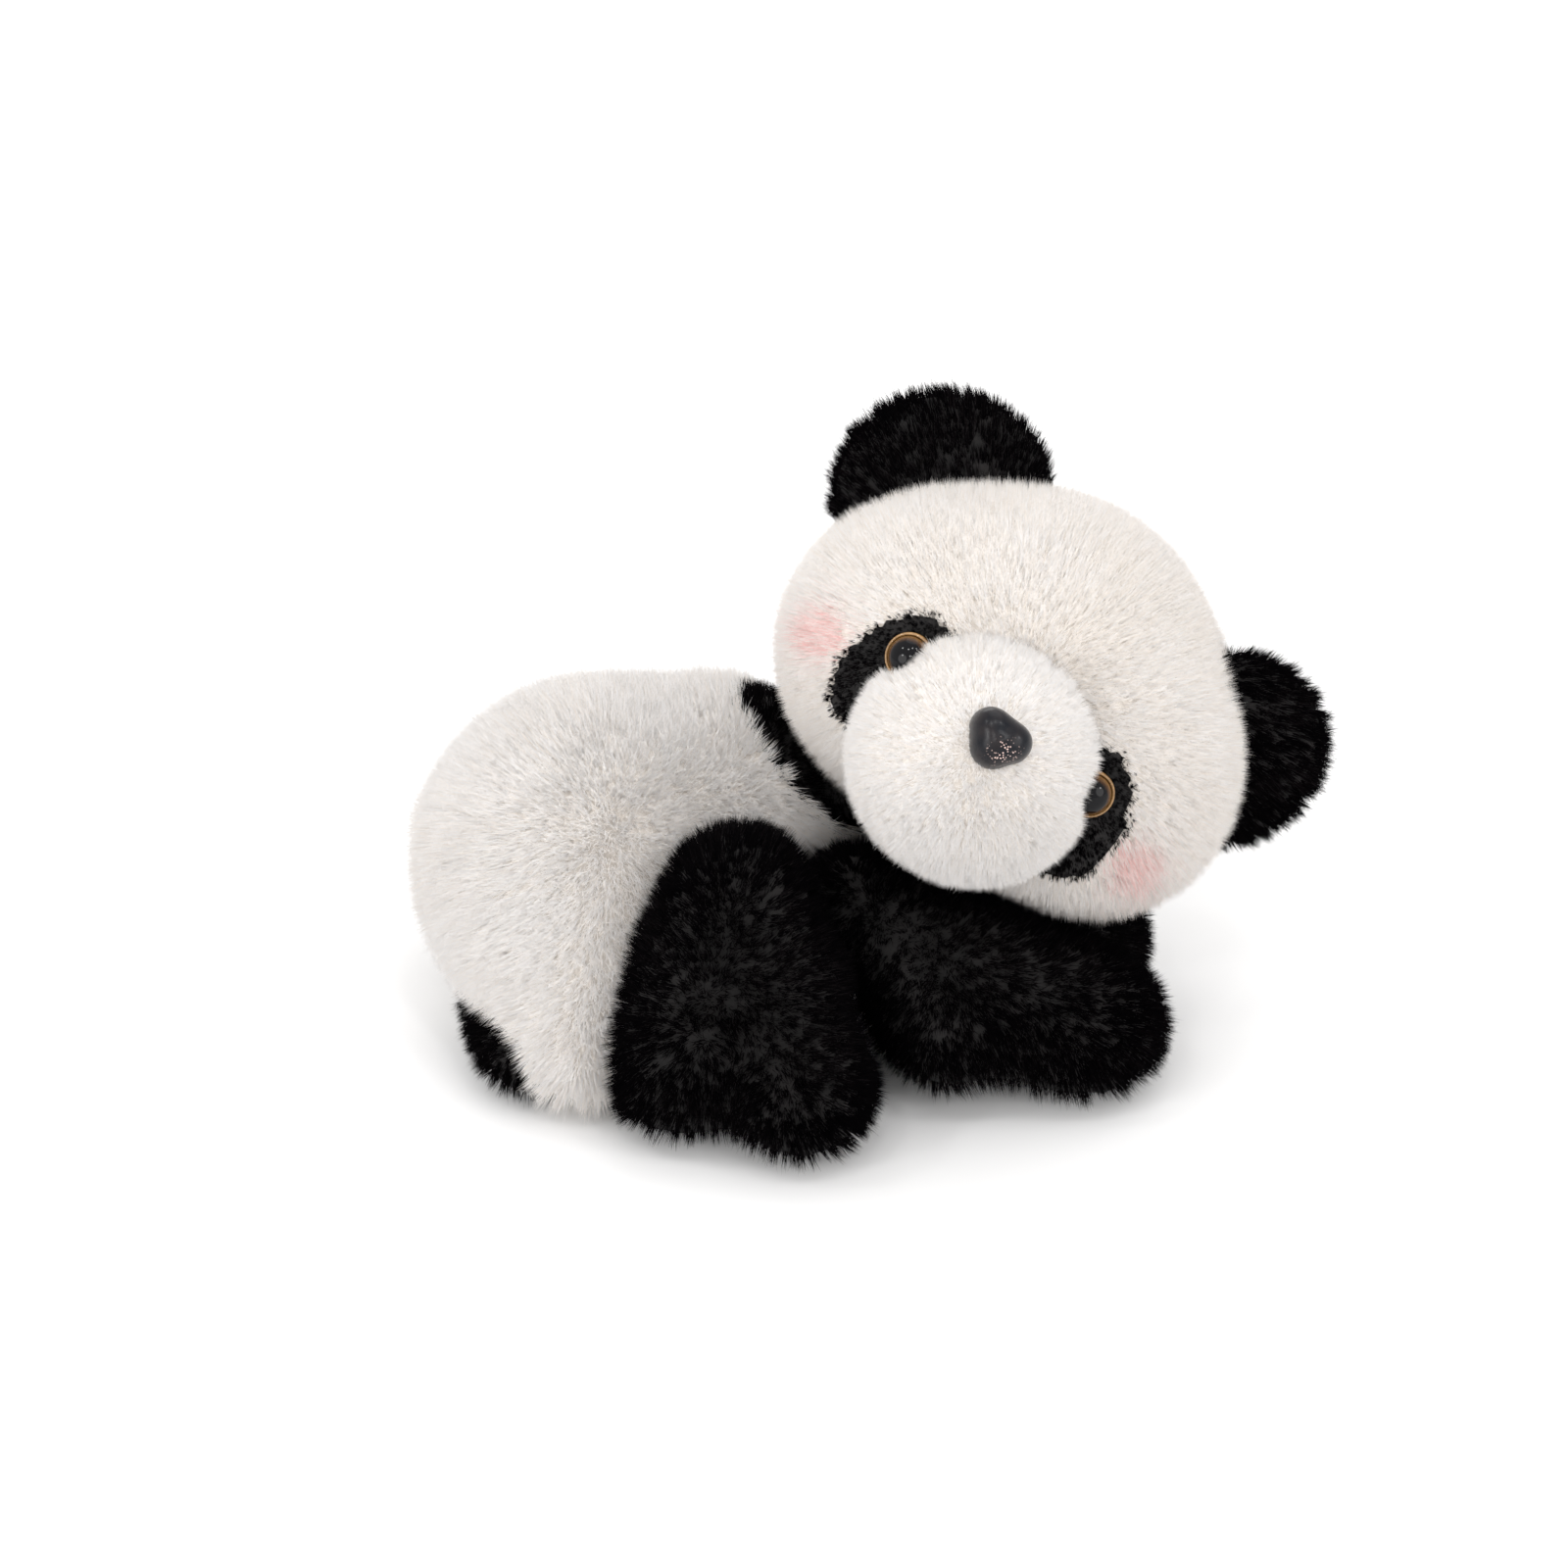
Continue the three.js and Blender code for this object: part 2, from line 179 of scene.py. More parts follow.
def grained(name, dark, light, roughness, scale, bump, **sockets):
    """Cloth, fibre or plastic: a broad and a fine noise mix its colours, the fine one raises it."""
    material = plain(name, light, roughness, **sockets)
    shader = material.node_tree.nodes["Principled BSDF"]
    place = node(material, "ShaderNodeTexCoord").outputs["Object"]
    broad = node(material, "ShaderNodeTexNoise", {"Vector": place, "Scale": scale * 0.12,
                                                  "Detail": 3.0}).outputs["Fac"]
    fine = node(material, "ShaderNodeTexNoise", {"Vector": place, "Scale": scale,
                                                 "Detail": 4.0, "Roughness": 0.7}).outputs["Fac"]
    both = node(material, "ShaderNodeMath", {0: broad, 1: fine}, operation="ADD").outputs[0]
    half = node(material, "ShaderNodeMath", {0: both, 1: 0.5}, operation="MULTIPLY").outputs[0]
    colour = ramp(material, half, [(0.36, dark), (0.62, light)])
    raised = node(material, "ShaderNodeBump", {"Height": fine, "Strength": bump,
                                               "Distance": 0.4 * MM}).outputs["Normal"]
    material.node_tree.links.new(colour, shader.inputs["Base Color"])
    material.node_tree.links.new(raised, shader.inputs["Normal"])
    return material


# ---- cloth forms ---------------------------------------------------------------------------

RAY_START = 0.3  # metres from a form's core, well outside every piece
FILLING_COVER = 0.7 * MM  # the cloth stays at least this far above the filling
EDGE_SINK = 0.4 * MM  # and sinks at most this far below its own CAD surface
FLOOR_GAP = 0.05 * MM  # no cloth comes nearer to the ground than this
STEP_BACK = 1.0 * MM  # a ray from the cloth starts this far behind it
LOOK_AHEAD = 3  # hair looks for its neighbours within this many times its longest length
UNDERSIDE_HAIR = 0.12  # the share of hair that stays where the skin faces the ground
LATTICE = 14  # points along each side of the box that `deepest` searches


def cad_tree(names):
    """One ray-casting tree over CAD nodes, and the node that each of its faces belongs to."""
    points, faces, owners = [], [], []
    for name in names:
        mesh = NODES[name].data
        start = len(points)
        points.extend(vertex.co.copy() for vertex in mesh.vertices)
        for polygon in mesh.polygons:
            faces.append([start + i for i in polygon.vertices])
            owners.append(name)
    return BVHTree.FromPolygons(points, faces), owners


def core_of(names):
    """The middle of the nodes' surface, weighted by area."""
    total, weight = Vector(), 0.0
    for name in names:
        for polygon in NODES[name].data.polygons:
            total += polygon.center * polygon.area
            weight += polygon.area
    return total / weight


def deepest(name):
    """The point of a lattice through a CAD node's box that lies farthest inside the node."""
    tree, _ = cad_tree([name])
    points = np.array([vertex.co for vertex in NODES[name].data.vertices])
    low, high = points.min(axis=0), points.max(axis=0)
    best, depth = core_of([name]), 0.0
    for step in np.ndindex(LATTICE, LATTICE, LATTICE):
        place = Vector(low + (high - low) * (np.array(step) + 0.5) / LATTICE)
        near, normal, _, distance = tree.find_nearest(place)
        if distance > depth and (place - near).dot(normal) < 0:
            best, depth = place, distance
    return best


def unit(vectors):
    return vectors / np.maximum(np.linalg.norm(vectors, axis=1, keepdims=True), 1e-12)


def flattening(nodes, core):
    """Squashes directions to the proportions of the nodes, so that a flat form keeps its rim."""
    points = np.concatenate([[v.co for v in NODES[name].data.vertices] for name in nodes])
    _, _, axes = np.linalg.svd(points - np.array(core), full_matrices=False)
    spread = np.abs((points - np.array(core)) @ axes.T).max(axis=0)
    return Matrix(axes.T @ np.diag(spread / spread.max()) @ axes)


class Skin:
    """The outer surface of CAD nodes as seen from their core, smoothed.

    `detail` is the number of subdivisions of the ball of directions and `smooth` the number of
    smoothing rounds. `flat` spreads the directions evenly over a flat form. `core` replaces the
    middle of the surface where that comes too near to the surface of a hollowed form.
    """

    def __init__(self, nodes, detail=5, smooth=4, flat=False, core=None):
        if core is None:
            core = core_of(nodes)
        stretch = flattening(nodes, core) if flat else Matrix.Identity(3)
        tree, owners = cad_tree(nodes)
        ball = bmesh.new()
        bmesh.ops.create_icosphere(ball, subdivisions=detail, radius=1)
        points = np.empty((len(ball.verts), 3))
        owner = []
        for i, vertex in enumerate(ball.verts):
            out = (stretch @ vertex.co).normalized()
            hit, _, face, _ = tree.ray_cast(core + out * RAY_START, -out, RAY_START)
            points[i] = hit if hit is not None else core
            owner.append(owners[face] if face is not None else nodes[0])
        self.faces = np.array([[v.index for v in face.verts] for face in ball.faces])
        self.edges = np.array([[v.index for v in edge.verts] for edge in ball.edges])
        ball.free()
        self.count = np.bincount(self.edges.ravel(), minlength=len(points)).astype(float)
        self.owner = np.array(owner)  # the node that each point lies on
        self.points = self.smoothed(points, smooth)
        self.lift_over(points, np.array(core))
        self.points[:, 2] = np.maximum(self.points[:, 2], FLOOR_GAP)
        self.measure()

    def lift_over(self, exact, core):
        """Lifts the smoothed surface where it sank too near the filling, or too deep."""
        below = np.array([-FILLING_COVER if "stuffing" in name else EDGE_SINK
                          for name in self.owner])
        sunk = (np.linalg.norm(exact - core, axis=1) - below
                - np.linalg.norm(self.points - core, axis=1))
        self.points += unit(self.points - core) * np.maximum(sunk, 0)[:, None]

    def smoothed(self, values, rounds):
        """Values at the points, each mixed with its neighbours' mean in every round."""
        for _ in range(rounds):
            total = np.zeros_like(values)
            np.add.at(total, self.edges[:, 0], values[self.edges[:, 1]])
            np.add.at(total, self.edges[:, 1], values[self.edges[:, 0]])
            count = self.count[:, None] if values.ndim == 2 else self.count
            values = values * 0.5 + 0.5 * total / count
        return values

    def measure(self):
        """The normal at each point and the area of each face."""
        a, b, c = (self.points[self.faces[:, i]] for i in range(3))
        across = np.cross(b - a, c - a)
        normals = np.zeros_like(self.points)
        for i in range(3):
            np.add.at(normals, self.faces[:, i], across)
        self.normals = unit(normals)
        self.areas = np.linalg.norm(across, axis=1) / 2

    def room(self, nodes, reach):
        """How far a hair can grow from each point before it meets one of the nodes."""
        tree, _ = cad_tree(nodes)
        room = np.full(len(self.points), reach)
        for i, (point, normal) in enumerate(zip(self.points, self.normals)):
            out = Vector(normal)
            start = Vector(point) - out * STEP_BACK
            hit, _, _, distance = tree.ray_cast(start, out, reach + STEP_BACK)
            if hit is not None:
                room[i] = max(distance - STEP_BACK, 0)
        return room

    def share_of_room(self, nodes, longest, share):
        """A share of the room before the nodes, for hair that is `longest` at most."""
        return self.room(nodes, LOOK_AHEAD * longest) * share

    def above_ground(self, reach):
        """How far a hair can grow before it meets the ground."""
        down = -self.normals[:, 2]
        room = np.full(len(self.points), reach)
        facing = down > 0.05  # the other hairs grow level or upwards
        room[facing] = np.minimum(reach, self.points[facing, 2] / down[facing])
        return room

    def thinned_below(self):
        """The share of hair to keep: all of it on the top and sides, and less below."""
        return np.clip(1.35 + self.normals[:, 2] * 2, UNDERSIDE_HAIR, 1)

    def piece(self, name, materials, body, slot, pick=None):
        """The cloth itself. `pick` gives each face's place in the list of materials."""
        mesh = bpy.data.meshes.new(name)
        mesh.from_pydata(self.points.tolist(), [], self.faces.tolist())
        for material in materials:
            mesh.materials.append(material)
        if pick is not None:
            mesh.polygons.foreach_set("material_index", pick.astype(np.int32))
        return finished(name, mesh, body)


def shade_smooth(mesh):
    mesh.polygons.foreach_set("use_smooth", np.ones(len(mesh.polygons), dtype=bool))


def finished(name, mesh, body):
    """The scene's object for a mesh, smooth and on its body."""
    shade_smooth(mesh)
    piece = bpy.data.objects.new(name, mesh)
    bpy.context.collection.objects.link(piece)
    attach(piece, body)
    return piece


# ---- hair ----------------------------------------------------------------------------------

MAX_PIECE_FACES = 190_000  # in one piece of hair
ROOT_DEPTH = 0.3 * MM  # roots sit this far below the surface
LOOSE_FRIZZ = 3.5  # a loose hair strays this many times as far as the others
LOOSE_REACH = 1.15  # and is this many times as long
HAIR_REACH = (0.7, 1.12)  # the shortest and longest hair, as shares of the pile's length
HAIR_WIDTH = (0.75, 1.2)  # the thinnest and thickest hair, as shares of the style's width
LOWER_PART = 0.55  # the share of a hair's length that follows its own lean, before it bends
HAIR_CLUMP = (0.4, 1.0)  # the least and the most that a hair takes of the style's clump
GATHER_BELOW = 0.06  # tips gather this share of the length below the tuft's own tip
ROOT_CLEAR = 1.5 * GROUND_CLEAR  # leaves room for the hair's thickness
TIPWARD = 0.15  # how far the normals at a hair's foot lean towards its tip
TIPWARD_AT_TIP = 0.4
HAIR_FACES = np.array([(0, 1, 3), (1, 2, 3), (2, 0, 3), (0, 2, 1)])  # three sides and a foot


def waves(points, size, seed):
    """A smooth vector field: the sum of six random sine waves about `size` long."""
    draw = np.random.default_rng(seed)
    field = np.zeros_like(points)
    for _ in range(6):
        direction = unit(draw.normal(size=(3, 3))) * (2 * math.pi / size) * draw.uniform(0.6, 1.6)
        field += np.sin(points @ direction.T + draw.uniform(0, 2 * math.pi, 3))
    return field / 3


def tangents(normals):
    """Two directions at right angles to each normal and to each other."""
    side = np.cross(normals, np.array([0.3, -0.5, 0.81]))
    weak = np.linalg.norm(side, axis=1) < 0.1
    side[weak] = np.cross(normals[weak], np.array([1.0, 0, 0]))
    side = unit(side)
    return side, np.cross(normals, side)


def along_surface(field, normals):
    """The part of a vector field that lies along the surface, with length 1."""
    return unit(field - normals * (field * normals).sum(axis=1, keepdims=True))


def scatter(skin, keep, per_mm2, draw):
    """Picks random places on the skin. Returns a function that reads the points' values there."""
    weight = skin.areas * keep[skin.faces].mean(axis=1)
    count = int(weight.sum() / MM**2 * per_mm2)
    chosen = draw.choice(len(skin.faces), size=count, p=weight / weight.sum())
    a, b = draw.random(count), draw.random(count)
    flip = a + b > 1
    a[flip], b[flip] = 1 - a[flip], 1 - b[flip]
    bary = np.stack([1 - a - b, a, b], axis=1)
    corners = skin.faces[chosen]

    def read(values):
        picked = values[corners]
        if values.ndim == 1:
            return (picked * bary).sum(axis=1)
        return (picked * bary[:, :, None]).sum(axis=1)

    return read


def hairs(roots, normals, comb, length, style, draw):
    """Each hair's root, tip and tuft. A tuft's hairs spread around its root and lean together."""
    tuft = style["tuft"]
    count = len(roots) * tuft
    side, across = tangents(normals)
    lean = unit(normals + comb * style["comb"]
                + waves(roots, style["swirl"], style["seed"]) * style["wild"]
                + draw.normal(size=roots.shape) * style["stray"])
    tuft_tip = roots + lean * length[:, None]
    pick = np.repeat(np.arange(len(roots)), tuft)
    angle = draw.uniform(0, 2 * math.pi, count)
    far = style["spread"] * np.sqrt(draw.random(count))
    root = (roots[pick] + side[pick] * (far * np.cos(angle))[:, None]
            + across[pick] * (far * np.sin(angle))[:, None] - normals[pick] * ROOT_DEPTH)
    loose = draw.random(count) < style["flyaway"]
    own = unit(lean[pick] + draw.normal(size=(count, 3)) * style["frizz"]
               * np.where(loose, LOOSE_FRIZZ, 1)[:, None])
    reach = length[pick] * draw.uniform(*HAIR_REACH, count) * np.where(loose, LOOSE_REACH, 1)
    bent = own + comb[pick] * style["bend"] + draw.normal(size=(count, 3)) * style["frizz"]
    bent[:, 2] -= style["droop"]
    tip = (root + own * (reach * LOWER_PART)[:, None]
           + unit(bent) * (reach * (1 - LOWER_PART))[:, None])
    clump = style["clump"] * draw.uniform(*HAIR_CLUMP, count)[:, None] * ~loose[:, None]
    gather = tuft_tip[pick] - lean[pick] * (length[pick] * GATHER_BELOW)[:, None]
    tip = tip * (1 - clump) + gather * clump
    for place in (root, tip):
        place[:, 2] = np.maximum(place[:, 2], ROOT_CLEAR)
    return root, tip, pick


def strands(root, tip, normals, style, draw):
    """A slim three-sided cone for each hair: its vertices and their normals.

    `soft` mixes the skin's normal into the hair's own, which evens out the light on the pile.
    """
    along = unit(tip - root)
    u, v = tangents(along)
    radius = style["width"] * draw.uniform(*HAIR_WIDTH, len(root)) / 2
    turn = draw.uniform(0, 2 * math.pi, len(root))
    soft = normals * style["soft"]
    corners, corner_normals = [], []
    for corner in range(3):
        a = turn + corner * 2 * math.pi / 3
        out = u * np.cos(a)[:, None] + v * np.sin(a)[:, None]
        corners.append(root + out * radius[:, None])
        corner_normals.append(soft + out * (1 - style["soft"]) + along * TIPWARD)
    corners.append(tip)
    corner_normals.append(soft + along * TIPWARD_AT_TIP)
    vertices = np.stack(corners, axis=1)
    vertices[:, :, 2] = np.maximum(vertices[:, :, 2], GROUND_CLEAR)
    return vertices, np.stack(corner_normals, axis=1)


def hair_piece(name, vertices, vertex_normals, shade, materials, body):
    """One mesh of many hairs. `shade` gives each hair's place in the list of materials."""
    count, per_hair, _ = vertices.shape
    faces = (np.arange(count) * per_hair)[:, None, None] + HAIR_FACES[None]
    mesh = bpy.data.meshes.new(name)
    mesh.vertices.add(count * per_hair)
    mesh.vertices.foreach_set("co", vertices.astype(np.float32).ravel())
    mesh.loops.add(faces.size)
    mesh.loops.foreach_set("vertex_index", faces.astype(np.int32).ravel())
    mesh.polygons.add(faces.size // 3)
    mesh.polygons.foreach_set("loop_start", np.arange(0, faces.size, 3, dtype=np.int32))
    mesh.polygons.foreach_set("material_index",
                              np.repeat(shade, len(HAIR_FACES)).astype(np.int32))
    for material in materials:
        mesh.materials.append(material)
    mesh.update(calc_edges=True)
    shade_smooth(mesh)
    mesh.normals_split_custom_set_from_vertices(
        unit(vertex_normals.reshape(-1, 3)).astype(np.float32))
    return finished(name, mesh, body)


def grow(name, skin, keep, length, comb, style, materials, shades, body, lift=0.0):
    """Covers a skin with hair, in as many pieces as its faces need.

    `keep` gives the share of hair, `length` its length and `comb` its lean at each point.
    `shades` gives each point's chances for each of the materials. `lift` raises the roots.
    """
    draw = np.random.default_rng(style["seed"])
    read = scatter(skin, keep * (length > style["bare"]), style["tufts_per_mm2"], draw)
    normals = unit(read(skin.normals))
    roots = read(skin.points) + normals * lift
    chance = np.stack([np.maximum(read(share), 0) for share in shades], axis=1)
    chance = np.cumsum(chance / chance.sum(axis=1, keepdims=True), axis=1)
    own_length = read(length) * draw.uniform(1 - style["ragged"], 1 + style["ragged"], len(roots))
    root, tip, pick = hairs(roots, normals, along_surface(read(comb), normals), own_length, style,
                            draw)
    vertices, vertex_normals = strands(root, tip, normals[pick], style, draw)
    shade = (draw.random(len(pick))[:, None] > chance[pick]).sum(axis=1)
    shade = np.minimum(shade, len(materials) - 1)
    parts = math.ceil(len(vertices) / (MAX_PIECE_FACES // len(HAIR_FACES)))
    for part in range(parts):
        some = slice(part * len(vertices) // parts, (part + 1) * len(vertices) // parts)
        hair_piece(f"{name}_{part + 1}", vertices[some], vertex_normals[some], shade[some],
                   materials, body)


# A style holds the hairs in a tuft and the tufts per mm2; how much a tuft leans along the comb,
# in swirls of a given size and at random (comb, swirl, wild, stray); the tuft's radius (spread);
# how each hair strays, bends and droops and how far the tips gather (frizz, bend, droop, clump);
# how even its light is (soft); its width; how uneven the lengths are (ragged); the length under
# which the cloth stays bare; the share of loose hairs (flyaway); and the random numbers' seed.
FACE_PILE = dict(tuft=6, tufts_per_mm2=1.3, comb=0.1, swirl=16 * MM, wild=0.05, stray=0.05,
                 spread=0.75 * MM, frizz=0.1, bend=0.1, droop=0.02, clump=0.14, soft=0.9,
                 width=0.22 * MM, ragged=0.12, bare=0.8 * MM, flyaway=0.05, seed=1)
BODY_PILE = dict(FACE_PILE, tufts_per_mm2=1.25, comb=0.16, swirl=24 * MM, spread=0.85 * MM,
                 droop=0.03, ragged=0.14, bare=0.7 * MM, seed=2)
BLACK_PILE = dict(BODY_PILE, tuft=7, tufts_per_mm2=0.75, comb=0.3, swirl=12 * MM, wild=0.12,
                  stray=0.12, clump=0.32, soft=0.45, width=0.24 * MM, bare=0.6 * MM, seed=3)
PATCH_PILE = dict(FACE_PILE, tuft=5, tufts_per_mm2=1.7, comb=0.12, wild=0.12, swirl=4 * MM,
                  stray=0.14, spread=0.5 * MM, clump=0.3, soft=0.5, bare=0.5 * MM,
                  flyaway=0.02, seed=4)

WHITES = [
    plain("white_hair_" + name, colour, 0.85, Specular_IOR_Level=0.15)
    for name, colour in (("cream", (0.93, 0.865, 0.795)), ("warm", (0.95, 0.905, 0.865)),
                         ("clear", (0.955, 0.935, 0.92)), ("blush_pale", (0.955, 0.82, 0.785)),
                         ("blush", (0.95, 0.61, 0.58)))
]
# The deep black is the hair's own colour. The brown and plum blacks are painted sheen: lighter
# hairs, scattered at random, that stand in for light on the pile's tips.
BLACKS = [
    plain("black_hair_deep", (0.0010, 0.0008, 0.0012), 0.8, Specular_IOR_Level=0.01),
    plain("black_hair_brown_sheen", (0.0026, 0.0019, 0.0022), 0.75, Specular_IOR_Level=0.02),
    plain("black_hair_plum_sheen", (0.0075, 0.0056, 0.0064), 0.6, Specular_IOR_Level=0.08),
]
WHITE_CLOTH = grained("white_pile_ground", (0.60, 0.55, 0.50), (0.74, 0.70, 0.65), 0.95, 900, 0.6)
BLACK_CLOTH = grained("black_pile_ground", (0.004, 0.004, 0.004), (0.014, 0.012, 0.012), 0.95,
                      900, 0.6)


def drift(skin, size, seed, strength):
    """A slow change of shade over the skin, in waves about `size` long."""
    return waves(skin.points, size, seed)[:, 0] * strength


def white_shades(skin, cream, clear, blush=None):
    """Chances of each white. They drift over the skin, and turn to pink where `blush` says so."""
    slow = drift(skin, 45 * MM, 5, 0.25)
    blush = np.zeros(len(skin.points)) if blush is None else blush
    rest = np.clip(1 - blush * 1.7, 0.02, 1)
    return [rest * np.clip(cream + slow, 0.05, 2), rest, rest * np.clip(clear - slow, 0.05, 2),
            blush * 4, np.clip(blush - 0.3, 0, 1) * 8]


def black_shades(skin):
    """Chances of each black, which drift over the skin: the deep black and the two lighter blacks
    of painted sheen.
    """
    slow = drift(skin, 25 * MM, 6, 0.4)
    same = np.ones(len(skin.points))
    return [same * 2, np.clip(same * 0.7 + slow, 0.1, 2), np.clip(same * 0.1 + slow, 0.02, 0.5)]


# ---- the panda's parts ---------------------------------------------------------------------

# The longest hair of each part.
BODY_HAIR = 7.5 * MM
YOKE_HAIR = 4.5 * MM
NECK_HAIR = 4 * MM
LIMB_HAIR = 5.6 * MM
EAR_HAIR = 5.5 * MM
HEAD_HAIR = 6.0 * MM
MUZZLE_HAIR = 4.2 * MM

SIDES = {"right": -1, "left": 1}  # each side's sign along HEAD_LEFT
LIMBS = ["arm_right", "arm_left", "leg_right", "leg_left"]
LIMB_SKINS = [limb + "_skin" for limb in LIMBS]
EAR_PANELS = ["ear_right_front", "ear_right_back", "ear_left_front", "ear_left_back"]
EYE_PARTS = ["eye_right", "eye_left", "eye_rim_right", "eye_rim_left"]


def shortest(longest, *rooms):
    """The hair's length at each point: `longest`, or the least of the rooms."""
    return np.minimum.reduce([np.full(len(rooms[0]), longest), *rooms])


def everywhere(skin):
    return np.ones(len(skin.points))


def build_torso():
    """The torso and the shoulder yoke in one form: white, and black at the shoulders."""
    skin = Skin(["torso_skin", "shoulder_yoke", "torso_stuffing"], detail=6, smooth=4)
    # The yoke is black, and so is the torso between it and the right arm.
    shoulder = np.array(JOINTS["arm_right_swing"]["pos_m"])
    past_root = 5 * MM
    beyond = ((skin.points[:, 0] > shoulder[0] - past_root)
              & (skin.points[:, 1] < shoulder[1] + past_root))
    black = ((skin.owner != "torso_skin") | beyond).astype(float)
    black_face = black[skin.faces].mean(axis=1) > 0.5
    cloth = skin.piece("torso_cloth", [WHITE_CLOTH, BLACK_CLOTH], "torso", "white_fur",
                       black_face)
    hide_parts("torso_skin", "shoulder_yoke")
    length = shortest(
        BODY_HAIR,
        skin.share_of_room(LIMB_SKINS, BODY_HAIR, 0.5),
        skin.share_of_room(["head_skin", "muzzle_skin", "neck_ball"], BODY_HAIR, 0.55),
        skin.above_ground(BODY_HAIR))
    # Hair lies towards the tail, and down. None grows where the filling has no skin over it.
    comb = np.tile(np.array([-0.35, -0.15, -0.9]), (len(length), 1))
    unskinned = skin.smoothed((skin.owner == "torso_stuffing").astype(float), 2)
    keep = skin.thinned_below() * (unskinned < 0.3)
    grow("torso_pile", skin, keep * (black < 0.5), length, comb, BODY_PILE, WHITES,
         white_shades(skin, 0.35, 1.5), "torso")
    grow("yoke_pile", skin, keep * (black >= 0.5), np.minimum(length, YOKE_HAIR), comb,
         dict(BLACK_PILE, bare=0.7 * MM), BLACKS, black_shades(skin), "torso")


def build_tail():
    """The small round tail. Its hair lies away from the torso."""
    skin = Skin(["tail"], detail=4, smooth=2)
    cloth = skin.piece("tail_cloth", [WHITE_CLOTH], "torso", "white_fur")
    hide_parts("tail")
    length = shortest(BODY_HAIR, skin.share_of_room(["torso_skin"], BODY_HAIR, 0.8))
    comb = skin.points - np.array(core_of(["torso_skin"]))
    grow("tail_pile", skin, everywhere(skin), length, comb, dict(BODY_PILE, seed=7), WHITES,
         white_shades(skin, 0.35, 1.5), "torso")


def build_neck():
    """The black ball that fills the gap when the head turns away from the yoke."""
    skin = Skin(["neck_ball"], detail=4, smooth=0)
    cloth = skin.piece("neck_cloth", [BLACK_CLOTH], "neck", "black_fur")
    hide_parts("neck_ball")
    # Hair leans a little the same way all over.
    walls = ["torso_skin", "shoulder_yoke", "torso_stuffing", "head_skin", "head_stuffing"]
    length = shortest(NECK_HAIR, skin.share_of_room(walls, NECK_HAIR, 0.4))
    grow("neck_pile", skin, everywhere(skin), length, skin.normals + 0.1,
         dict(BLACK_PILE, seed=9), BLACKS, black_shades(skin), "neck")


def build_limb(name):
    """An arm or a leg. The torso hollows it, so its core is the deepest point of its filling."""
    skin = Skin([name + "_skin", name + "_stuffing"], detail=5, smooth=3,
                core=deepest(name + "_stuffing"))
    cloth = skin.piece(name + "_cloth", [BLACK_CLOTH], name, "black_fur")
    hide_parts(name + "_skin")
    others = [other for other in LIMB_SKINS if other != name + "_skin"]
    others += ["torso_skin", "shoulder_yoke", "head_skin", "muzzle_skin"]
    length = shortest(LIMB_HAIR, skin.share_of_room(others, LIMB_HAIR, 0.55),
                      skin.above_ground(LIMB_HAIR))
    # Hair lies from the root to the paw, and a little down.
    root = np.array(JOINTS[name + "_swing"]["pos_m"])
    comb = unit(skin.points - root) + np.array([0, 0, -0.4])
    grow(name + "_pile", skin, skin.thinned_below(), length, comb,
         dict(BLACK_PILE, seed=10 + len(name)), BLACKS, black_shades(skin), name)


def build_ear(side):
    """Both panels of an ear in one thin form. Its hair lies away from the head."""
    name = "ear_" + side
    panels = [name + "_front", name + "_back"]
    skin = Skin(panels, detail=5, smooth=2, flat=True)
    cloth = skin.piece(name + "_cloth", [BLACK_CLOTH], name, "black_fur")
    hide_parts(*panels)
    length = shortest(EAR_HAIR, skin.share_of_room(["head_skin"], EAR_HAIR, 0.8))
    comb = unit(skin.points - np.array(core_of(["head_skin"])))
    grow(name + "_pile", skin, everywhere(skin), length, comb,
         dict(BLACK_PILE, comb=0.8, seed=20 + len(name)), BLACKS, black_shades(skin), name)


CHEEK_OUT = 20.7 * MM  # from the eye's middle to the cheek's
CHEEK_DOWN = 7.3 * MM
CHEEK_RADIUS = 7.5 * MM


def cheeks(skin):
    """How pink the head's hair is: a soft round spot outside and below each eye."""
    middle = np.array(core_of(["head_skin"]))
    in_front = (skin.points - middle) @ np.array(HEAD_OUT) > 0
    blush = np.zeros(len(skin.points))
    for side, sign in SIDES.items():
        eye, _ = disc_frame("eye_rim_" + side)
        cheek = eye + HEAD_LEFT * sign * CHEEK_OUT - HEAD_UP * CHEEK_DOWN
        apart = skin.points - np.array(cheek)
        across, up = apart @ np.array(HEAD_LEFT), apart @ np.array(HEAD_UP)
        blush += np.exp(-(np.hypot(across, up) / CHEEK_RADIUS)**2) * in_front
    return np.clip(blush * 0.75, 0, 0.9)


PATCH_SEARCH = 3 * MM
PATCH_NEAR = 2.5 * MM  # the head's surface lies within this distance under an eye patch
PATCH_LIFT = 1.35 * MM  # from the head's surface to the patch's
PATCH_CLOTH = 0.9 * MM  # thickness
PATCH_HAIR_LIFT = 1.3 * MM


